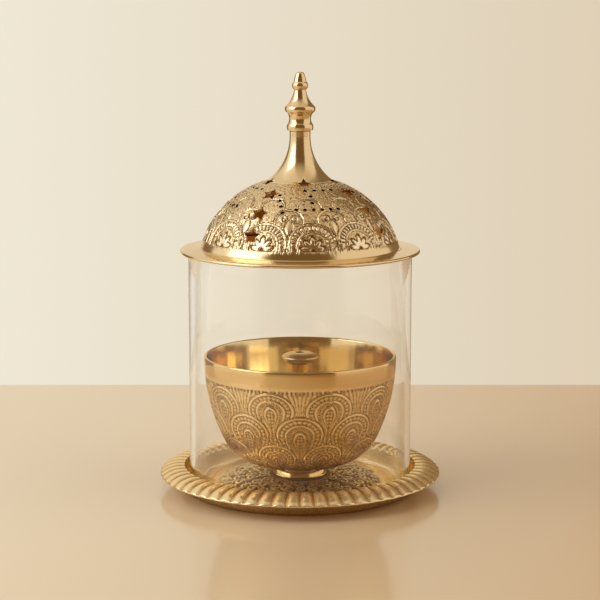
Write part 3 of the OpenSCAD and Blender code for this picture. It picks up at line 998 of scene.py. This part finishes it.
# %% Turn the finial
ring_r = 6.35
ring_top_z = neck_z + 2.8
bell_r = 7.2
bell_z = neck_z + 10.3
bell_half = 1.35
bead_z = neck_z + 21.6
bead_half = 1.9
stalk_r = 3.0
tip_r = 2.1
tip_rise = 0.9
root_r = 2.5
root_z = neck_z - 6
finial_outline = drawn(
    (0, root_z),
    (root_r, root_z),
    (root_r, neck_z),
    (ring_r, neck_z),
    ((ring_r, ring_top_z), 0.2, 6),
    ((bell_r, bell_z - bell_half), -1.35, 22),
    ((bell_r, bell_z + bell_half), 0.4, 8),
    ((stalk_r, bead_z - bead_half - 0.4), -0.8, 20),
    (stalk_r, bead_z - bead_half),
    ((stalk_r + 0.15, bead_z + bead_half), 0.95, 14),
    ((tip_r, tip_z - tip_rise), 0.15, 8),
    ((0, tip_z), 0.5, 10),
)
finial = turned("finial_turned", finial_outline, 10, 16, closed=False)
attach(finial, "lid")
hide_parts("finial")

# %% [markdown]
# ## Brass
# Polished brass is a metal with almost no texture of its own, so what makes it real is what is faint on
# it: the rings that the lathe left, smears, a slow drift of tone, and a brown patina where the chasing is
# sunk. The rings, the smears and the drift are one node group, which every brass uses. The lid, the bowl
# and the tray are made of slightly different brasses, so each has its own tones: two that drift into each
# other, and a paler one for worn ridges. The patina reads the depth that was kept on the chased pieces,
# which on the tray also holds painted shade along the flute valleys and under the rim, and on the collar.
# The smoke reads what was kept inside the dome, and the same share paints shade brown and black on the
# collar and on the dots' walls. The bowl's lining is paler than its outside, and the wick cap is a duller
# satin.

# %% Node helpers and the turning-marks group


def link(tree, source, target):
    """Joins an output socket to an input socket."""
    tree.links.new(source, target)


def graded(tree, socket, stops):
    """The colour of a ramp along a socket. A stop is a place and a value, which is a colour or a grey."""
    node = tree.nodes.new("ShaderNodeValToRGB")
    elements = node.color_ramp.elements
    while len(elements) < len(stops):
        elements.new(0.5)
    for element, (place, value) in zip(elements, stops):
        element.position = place
        element.color = value if isinstance(value, tuple) else (value, value, value, 1)
    link(tree, socket, node.inputs["Fac"])
    return node.outputs["Color"]


def noise(tree, where, scale, detail):
    """A noise from 0 to 1 at the given coordinates."""
    node = tree.nodes.new("ShaderNodeTexNoise")
    node.inputs["Scale"].default_value = scale
    node.inputs["Detail"].default_value = detail
    link(tree, where, node.inputs["Vector"])
    return node.outputs["Fac"]


def math_node(tree, operation, first, second):
    """A Math node whose inputs are sockets or numbers."""
    node = tree.nodes.new("ShaderNodeMath")
    node.operation = operation
    for socket, value in zip(node.inputs, (first, second)):
        if isinstance(value, (int, float)):
            socket.default_value = value
        else:
            link(tree, value, socket)
    return node.outputs["Value"]


def make_turning_marks():
    """The group that gives the lathe's rings as a height, and a slow drift of tone and polish."""
    group = bpy.data.node_groups.new("turning_marks", "ShaderNodeTree")
    group.interface.new_socket("Position", in_out="INPUT", socket_type="NodeSocketVector")
    for name in ("Rings", "Drift", "Smears"):
        group.interface.new_socket(name, in_out="OUTPUT", socket_type="NodeSocketFloat")
    start = group.nodes.new("NodeGroupInput")
    end = group.nodes.new("NodeGroupOutput")
    place = group.nodes.new("ShaderNodeSeparateXYZ")
    link(group, start.outputs["Position"], place.inputs["Vector"])
    x_square = math_node(group, "MULTIPLY", place.outputs["X"], place.outputs["X"])
    y_square = math_node(group, "MULTIPLY", place.outputs["Y"], place.outputs["Y"])
    from_axis = math_node(group, "SQRT", math_node(group, "ADD", x_square, y_square), 0.0)
    ring_place = group.nodes.new("ShaderNodeCombineXYZ")
    link(group, from_axis, ring_place.inputs["X"])
    link(group, place.outputs["Z"], ring_place.inputs["Y"])
    link(group, noise(group, ring_place.outputs["Vector"], 2200, 3), end.inputs["Rings"])
    link(group, noise(group, start.outputs["Position"], 45, 4), end.inputs["Drift"])
    link(group, noise(group, start.outputs["Position"], 160, 6), end.inputs["Smears"])
    return group


turning_marks = make_turning_marks()
print("group", turning_marks.name, "has", len(turning_marks.nodes), "nodes")

# %% Polished and chased brass


def new_material(name):
    """An empty material with a Principled shader, its tree, and the piece's own coordinates."""
    material = bpy.data.materials.new(name)
    material.use_nodes = True
    tree = material.node_tree
    where = tree.nodes.new("ShaderNodeTexCoord").outputs["Object"]
    return material, tree, tree.nodes["Principled BSDF"], where


def marks_on(tree, where):
    """Places the turning marks in a material, and gives what they put out."""
    marks = tree.nodes.new("ShaderNodeGroup")
    marks.node_tree = turning_marks
    link(tree, where, marks.inputs["Position"])
    return marks.outputs


def kept_share(tree, name):
    """A share that was kept on the piece as an attribute."""
    node = tree.nodes.new("ShaderNodeAttribute")
    node.attribute_name = name
    return node.outputs["Fac"]


def mixed(tree, factor, first, second):
    """A colour between two colours, by a factor socket."""
    node = tree.nodes.new("ShaderNodeMix")
    node.data_type = "RGBA"
    link(tree, factor, node.inputs["Factor"])
    for socket, value in ((node.inputs[6], first), (node.inputs[7], second)):
        if isinstance(value, tuple):
            socket.default_value = value
        else:
            link(tree, value, socket)
    return node.outputs[2]


def mapped(tree, value, low, high):
    """A value from 0 to 1 laid between two numbers."""
    node = tree.nodes.new("ShaderNodeMapRange")
    node.inputs["To Min"].default_value = low
    node.inputs["To Max"].default_value = high
    link(tree, value, node.inputs["Value"])
    return node.outputs["Result"]


def bumped(tree, height, distance, strength, before=None):
    """A Bump node's normal for a height socket, on top of another normal if one is given."""
    node = tree.nodes.new("ShaderNodeBump")
    node.inputs["Distance"].default_value = distance
    node.inputs["Strength"].default_value = strength
    link(tree, height, node.inputs["Height"])
    if before is not None:
        link(tree, before, node.inputs["Normal"])
    return node.outputs["Normal"]


patina_brown = (0.22, 0.105, 0.026, 1)
# The tray's patina, which also paints shade along its flute valleys, under its rim and on the collar
tray_patina_and_shade = (0.34, 0.16, 0.035, 1)
# A smoke brown for the inside of the lid, also used as painted shade on the collar and the dots' walls, and
# a black that is only painted shade
smoke_and_shade_brown = (0.45, 0.22, 0.05, 1)
painted_shade_black = (0.012, 0.008, 0.005, 1)
# Three tones of each brass, two that drift into each other and a paler one for worn ridges: the tray's, the
# bowl's warmer ones and the lid's paler ones
tray_gold = ((0.85, 0.66, 0.38, 1), (0.77, 0.56, 0.29, 1), (0.97, 0.81, 0.52, 1))
bowl_gold = ((0.88, 0.655, 0.335, 1), (0.79, 0.535, 0.235, 1), (0.94, 0.78, 0.50, 1))
lid_gold = ((0.85, 0.69, 0.45, 1), (0.77, 0.59, 0.35, 1), (0.93, 0.82, 0.62, 1))
lining_gold = ((0.91, 0.74, 0.45, 1), (0.84, 0.65, 0.36, 1))
# What each brass keeps of its colour where it is seen along the surface
tray_glance = (1.0, 0.80, 0.50, 1)
bowl_glance = (1.0, 0.84, 0.58, 1)
lid_glance = (1.0, 0.95, 0.86, 1)
# Heights of the lathe's rings and of the stipple, in metres
ring_height = 0.00003
stipple_height = 0.0002


def make_polished_brass(name, gold, glance):
    """Turned and polished brass, with faint rings, smears and a drift of tone."""
    material, tree, shader, where = new_material(name)
    marks = marks_on(tree, where)
    shader.inputs["Metallic"].default_value = 1
    shader.inputs["Specular Tint"].default_value = glance
    link(tree, mixed(tree, marks["Drift"], gold[0], gold[1]), shader.inputs["Base Color"])
    link(tree, mapped(tree, marks["Smears"], 0.06, 0.22), shader.inputs["Roughness"])
    link(tree, bumped(tree, marks["Rings"], ring_height, 0.25), shader.inputs["Normal"])
    return material


def make_chased_brass(name, gold, glance, patina_and_shade, polish, shine, grain, pits):
    """Chased brass: bright on the ridges, brown and dull in the deepest lines, finely stippled."""
    material, tree, shader, where = new_material(name)
    marks = marks_on(tree, where)
    depth = kept_share(tree, "depth")
    soot_and_shade = kept_share(tree, "soot_and_shade")
    stipple = noise(tree, where, grain, 2)
    sunk = graded(tree, depth, ((0.35, 0), (0.9, 1)))
    patches = math_node(tree, "MULTIPLY", sunk, graded(tree, stipple, pits))
    speckled = math_node(tree, "MAXIMUM", patches, graded(tree, depth, ((0.8, 0), (0.97, 1))))
    tone = mixed(tree, marks["Drift"], gold[0], gold[1])
    rubbed = mixed(tree, graded(tree, depth, ((0, 1), (0.25, 0))), tone, gold[2])
    browned = mixed(tree, speckled, rubbed, patina_and_shade)
    # The smoke share browns the inside of the lid; on the collar and the dots' walls the same share is
    # painted shade, brown and then black
    smoke_and_shade = mixed(tree, graded(tree, soot_and_shade, ((0, 0), (0.5, 1))), browned, smoke_and_shade_brown)
    shade_blackened = mixed(tree, graded(tree, soot_and_shade, ((0.5, 0), (1, 1))), smoke_and_shade, painted_shade_black)
    dullness = math_node(tree, "MAXIMUM", speckled, soot_and_shade)
    ground = graded(tree, depth, ((0.3, 0), (0.45, 1), (0.8, 1), (0.95, 0)))
    punched = math_node(tree, "MULTIPLY", stipple, ground)
    rings = bumped(tree, marks["Rings"], ring_height, 0.2)
    shader.inputs["Metallic"].default_value = shine
    shader.inputs["Specular IOR Level"].default_value = 0.2
    shader.inputs["Specular Tint"].default_value = glance
    link(tree, shade_blackened, shader.inputs["Base Color"])
    link(tree, mapped(tree, dullness, polish, 0.5), shader.inputs["Roughness"])
    link(tree, bumped(tree, punched, stipple_height, 0.7, rings), shader.inputs["Normal"])
    return material


polished_bowl_brass = make_polished_brass("polished_bowl_brass", bowl_gold, bowl_glance)
polished_lid_brass = make_polished_brass("polished_lid_brass", lid_gold, lid_glance)
bowl_lining = make_polished_brass("bowl_lining_brass", lining_gold, bowl_glance)
soft_pits = ((0.38, 0.45), (0.62, 1))
sharp_pits = ((0.44, 0.1), (0.56, 1))
chased_tray_brass = make_chased_brass(
    "chased_tray_brass", tray_gold, tray_glance, tray_patina_and_shade,
    polish=0.22, shine=0.75, grain=1500, pits=soft_pits,
)
chased_bowl_brass = make_chased_brass(
    "chased_bowl_brass", bowl_gold, bowl_glance, patina_brown,
    polish=0.09, shine=1, grain=1500, pits=soft_pits,
)
chased_lid_brass = make_chased_brass(
    "chased_lid_brass", lid_gold, lid_glance, patina_brown,
    polish=0.18, shine=1, grain=800, pits=sharp_pits,
)
satin_cap_brass = make_chased_brass(
    "satin_cap_brass", lid_gold, bowl_glance, patina_brown,
    polish=0.34, shine=1, grain=1500, pits=soft_pits,
)
print("a chased brass has", len(chased_lid_brass.node_tree.nodes), "nodes")

# %% [markdown]
# ## Glass, steel and rubber
# The chimney is clear glass with a trace of warm tint. Shadow rays, and rays that come off other pieces,
# are let straight through it, because what lies behind real glass would stay dark until very many paths
# are followed. The bolt, its washer and the seal are hidden, and still get a finish of their own.

# %% Glass, steel and rubber
glass_tint = (1.0, 0.996, 0.985, 1)
through_tint = (0.975, 0.97, 0.955, 1)
smoked_tones = ((0.50, 0.25, 0.06, 1), (0.38, 0.18, 0.04, 1))
steel_tones = ((0.52, 0.52, 0.51, 1), (0.64, 0.63, 0.62, 1))
rubber_tones = ((0.03, 0.026, 0.024, 1), (0.06, 0.055, 0.05, 1))


def make_clear_glass():
    """Clear tube glass that lets shadow rays and rays from other pieces straight through."""
    material, tree, shader, where = new_material("clear_glass_finish")
    wobble = noise(tree, where, 30, 2)
    shader.inputs["Base Color"].default_value = glass_tint
    shader.inputs["Roughness"].default_value = 0
    shader.inputs["IOR"].default_value = 1.47
    shader.inputs["Transmission Weight"].default_value = 1
    link(tree, bumped(tree, wobble, 0.0004, 0.05), shader.inputs["Normal"])
    clear = tree.nodes.new("ShaderNodeBsdfTransparent")
    clear.inputs["Color"].default_value = through_tint
    rays = tree.nodes.new("ShaderNodeLightPath").outputs
    reflected = math_node(tree, "SUBTRACT", rays["Is Glossy Ray"], rays["Is Transmission Ray"])
    bounced = math_node(tree, "MAXIMUM", reflected, rays["Is Diffuse Ray"])
    let_through = math_node(tree, "MAXIMUM", rays["Is Shadow Ray"], bounced)
    choose = tree.nodes.new("ShaderNodeMixShader")
    link(tree, let_through, choose.inputs[0])
    link(tree, shader.outputs["BSDF"], choose.inputs[1])
    link(tree, clear.outputs["BSDF"], choose.inputs[2])
    link(tree, choose.outputs["Shader"], tree.nodes["Material Output"].inputs["Surface"])
    return material


def make_grained(name, metallic, scale, detail, tones, dullness):
    """A plain finish whose tone and polish follow one fine grain."""
    material, tree, shader, where = new_material(name)
    grain = noise(tree, where, scale, detail)
    shader.inputs["Metallic"].default_value = metallic
    link(tree, mixed(tree, grain, *tones), shader.inputs["Base Color"])
    link(tree, mapped(tree, grain, *dullness), shader.inputs["Roughness"])
    return material


clear_glass = make_clear_glass()
smoked_brass = make_grained("smoked_brass_finish", 1, 220, 4, smoked_tones, (0.25, 0.5))
steel = make_grained("steel_finish", 1, 700, 4, steel_tones, (0.25, 0.5))
rubber = make_grained("rubber_finish", 0, 900, 3, rubber_tones, (0.6, 0.85))
print("materials:", len(bpy.data.materials))

# %% Dress every piece


def dress(piece, material):
    """Gives a piece one material all over."""
    piece.data.materials.clear()
    piece.data.materials.append(material)


def dress_faces(piece, material, faces):
    """Gives the chosen faces of a piece a second material."""
    piece.data.materials.append(material)
    piece.data.polygons.foreach_set("material_index", faces.astype(np.int32))


for piece, material in (
    (tray, chased_tray_brass),
    (collar, chased_tray_brass),
    (foot, polished_bowl_brass),
    (bowl, chased_bowl_brass),
    (cap, satin_cap_brass),
    (glass, clear_glass),
    (flange, polished_lid_brass),
    (dome, chased_lid_brass),
    (finial, polished_lid_brass),
    (nodes["wick_socket"], polished_lid_brass),
    (nodes["wick_stem"], polished_lid_brass),
    (nodes["locating_ring"], smoked_brass),
    (nodes["centre_bolt"], steel),
    (nodes["bolt_washer"], steel),
    (nodes["oil_seal"], rubber),
):
    dress(piece, material)
dress_faces(bowl, bowl_lining, looks_inward(bowl, rim_z))
middles = gathered(flange.data.polygons, "center")
in_hole = np.hypot(middles[:, 0], middles[:, 1]) < (flange_hole_r + 0.1) * MM
dress_faces(flange, smoked_brass, in_hole)

# %% [markdown]
# ## The table top, the light and the world
# Brass shows what is round it, so the light matters as much as the finish. One soft box stands at the left,
# and the rest of the light comes from the world, a pale room with a warm ceiling. It is bright at both
# sides and dark behind the camera, which draws the dark band down the middle of the neck. Two dark strips
# behind the lamp draw its outline, and higher up the left one gives way to a wall. Seen straight, or
# through the glass, the room is a plain backdrop. The floor is a plain warm slab with a soft gloss, with
# painted light: its colour is paler at the left, towards the window, and darker at the right.

# %% Floor
floor_back = 0.245
floor_side = 3.0
bpy.ops.object.select_all(action="DESELECT")
bpy.ops.mesh.primitive_plane_add(size=1)
floor = bpy.context.active_object
floor.name = "table_top"
for vertex in floor.data.vertices:
    vertex.co.x *= 2 * floor_side
    vertex.co.y = floor_back if vertex.co.y > 0 else -floor_side
# Painted light: the slab's colour at its left, paler as if lit from the window side, and at its right,
# darker
slab_lit_left = (0.92, 0.82, 0.66, 1)
slab_shaded_right = (0.71, 0.50, 0.29, 1)


def make_table_top():
    """A pale stone-coloured floor with a soft gloss, painted paler at the left and darker at the right as
    painted light.
    """
    material, tree, shader, where = new_material("pale_table_top")
    split = tree.nodes.new("ShaderNodeSeparateXYZ")
    link(tree, where, split.inputs["Vector"])
    across = math_node(tree, "ADD", math_node(tree, "MULTIPLY", split.outputs["X"], 2.5), 0.5)
    stone_with_painted_light = graded(tree, across, ((0.1, slab_lit_left), (0.9, slab_shaded_right)))
    link(tree, stone_with_painted_light, shader.inputs["Base Color"])
    shader.inputs["Roughness"].default_value = 0.15
    return material


dress(floor, make_table_top())
print("floor:", floor.name, "is", 2 * floor_side, "m wide")

# %% Lamp
lamp_place = (-0.95, -0.35, 0.75)
lamp_aim = (0, 0, 0.1)
lamp_size = 0.9
lamp_power = 4.4
bpy.ops.object.light_add(type="AREA", location=lamp_place)
lamp = bpy.context.active_object
lamp.name = "left_soft_box"
lamp.data.shape = "RECTANGLE"
lamp.data.size = lamp_size
lamp.data.size_y = lamp_size
lamp.data.energy = lamp_power
lamp.data.color = (1.0, 0.96, 0.90)
away = np.array(lamp_place) - np.array(lamp_aim)
lamp_lean = math.atan2(math.hypot(away[0], away[1]), away[2])
lamp.rotation_euler = (lamp_lean, 0, math.atan2(away[0], -away[1]))
print("lamp:", lamp.name, "of", lamp_power, "W")

# %% World
backdrop_left = (0.86, 0.80, 0.66, 1)
backdrop_right = (0.74, 0.63, 0.47, 1)
wall = (0.82, 0.73, 0.58, 1)
left_wall = (0.86, 0.77, 0.62, 1)
window = (1.0, 0.94, 0.82, 1)
warm_side = (0.92, 0.80, 0.63, 1)
dark_room = (0.18, 0.105, 0.036, 1)
dark_flag = (0.25, 0.165, 0.085, 1)
ceiling_left = (0.88, 0.75, 0.56, 1)
ceiling_right = (0.62, 0.48, 0.30, 1)
# What stands round the lamp: turn in degrees from behind the lamp, left below 0 and right above, and colour
left_end = ((-180, dark_room), (-140, dark_room), (-136, window), (-60, window))
left_strip = ((-56, dark_flag), (-29, dark_flag), (-25, wall), (9, wall))
right_strip = ((13, dark_flag), (50, dark_flag), (54, warm_side))
right_end = ((136, warm_side), (140, dark_room), (180, dark_room))
surround = left_end + left_strip + right_strip + right_end
# The same higher up, where the left strip gives way to a wall and the right one is wider
high_wall = ((-56, left_wall), (9, wall))
wide_strip = ((13, dark_flag), (64, dark_flag), (68, warm_side))
high_surround = left_end + high_wall + wide_strip + right_end
world = bpy.context.scene.world or bpy.data.worlds.new("studio")
bpy.context.scene.world = world
world.use_nodes = True
tree = world.node_tree
tree.nodes.clear()
split = tree.nodes.new("ShaderNodeSeparateXYZ")
link(tree, tree.nodes.new("ShaderNodeTexCoord").outputs["Generated"], split.inputs["Vector"])
turn = math_node(tree, "ARCTAN2", split.outputs["X"], split.outputs["Y"])
place = math_node(tree, "ADD", math_node(tree, "DIVIDE", turn, math.tau), 0.5)
across = math_node(tree, "ADD", split.outputs["X"], 0.5)
level = split.outputs["Z"]


def room_round(stops):
    """The colour round the lamp, from stops in degrees."""
    return graded(tree, place, [((degrees + 180) / 360, colour) for degrees, colour in stops])


high_up = graded(tree, level, ((0.25, 0), (0.45, 1)))
walls = mixed(tree, high_up, room_round(surround), room_round(high_surround))
ceiling = graded(tree, across, ((0.1, ceiling_left), (0.9, ceiling_right)))
room = mixed(tree, graded(tree, level, ((0.74, 0), (0.96, 0.85))), walls, ceiling)
side = graded(tree, across, ((0.35, backdrop_left), (0.65, backdrop_right)))
rays = tree.nodes.new("ShaderNodeLightPath").outputs
seen_straight = math_node(tree, "MAXIMUM", rays["Is Camera Ray"], rays["Is Transmission Ray"])
backdrop = mixed(tree, seen_straight, room, side)
sky = tree.nodes.new("ShaderNodeBackground")
link(tree, backdrop, sky.inputs["Color"])
link(tree, sky.outputs["Background"], tree.nodes.new("ShaderNodeOutputWorld").inputs["Surface"])
bpy.context.scene.view_settings.view_transform = "Standard"
print("world has", len(tree.nodes), "nodes")
